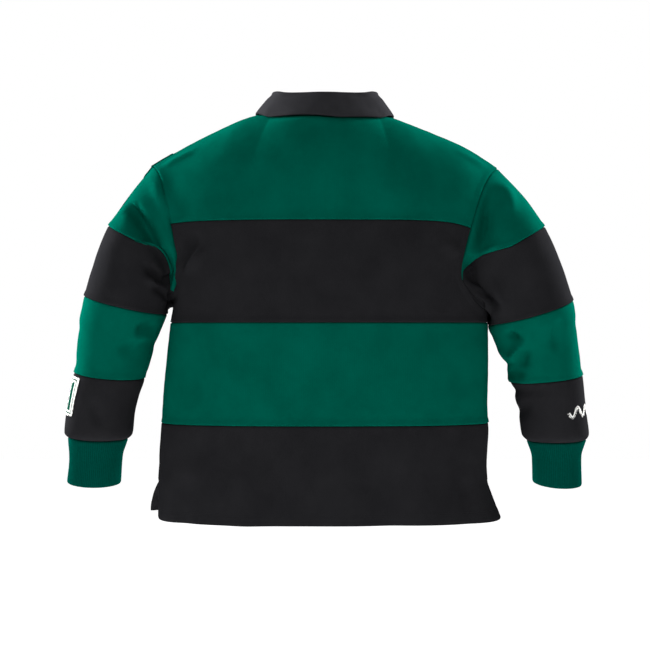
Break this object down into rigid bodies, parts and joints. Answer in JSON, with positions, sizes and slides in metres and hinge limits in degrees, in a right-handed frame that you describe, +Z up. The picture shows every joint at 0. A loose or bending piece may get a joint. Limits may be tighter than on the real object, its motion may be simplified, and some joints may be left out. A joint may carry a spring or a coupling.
{
  "type": "long-sleeve polo shirt",
  "caption": "Long-sleeve rugby-style polo shirt in its worn, hollow form, pieced from broad green and black blocks, with a turned-down collar, rib cuffs and side vents.",
  "frame": {"origin": "middle of the neck opening, level with where the shoulder seams reach the neck", "axes": "+Z up, the front of the shirt faces -Y, the wearer's left is +X"},
  "size_m": [0.9125, 0.2462, 0.7314],
  "materials": {
    "green_jersey": "smooth heavy cotton jersey",
    "black_jersey": "smooth heavy cotton jersey",
    "green_rib": "ribbed cotton knit",
    "black_twill": "cotton twill",
    "white_badge": "woven badge with an overlocked edge",
    "black_button": "moulded rubber button"
  },
  "bodies": {
    "root": {"back_shoulder": "green_jersey", "back_chest": "black_jersey", "back_waist": "green_jersey", "back_hem": "black_jersey", "front_shoulder_left": "green_jersey", "front_shoulder_right": "green_jersey", "front_chest": "black_jersey", "front_waist": "green_jersey", "front_hem": "black_jersey", "sleeve_left_cap": "green_jersey", "sleeve_left_upper": "black_jersey", "sleeve_left_lower": "green_jersey", "sleeve_left_wrist": "black_jersey", "cuff_left": "green_rib", "sleeve_right_cap": "green_jersey", "sleeve_right_upper": "black_jersey", "sleeve_right_lower": "green_jersey", "sleeve_right_wrist": "black_jersey", "cuff_right": "green_rib", "collar": "black_twill", "placket_top": "black_twill", "placket_under": "black_twill", "button_1": "black_button", "button_2": "black_button", "button_3": "black_button", "sleeve_badge": "white_badge"}
  },
  "joints": []
}
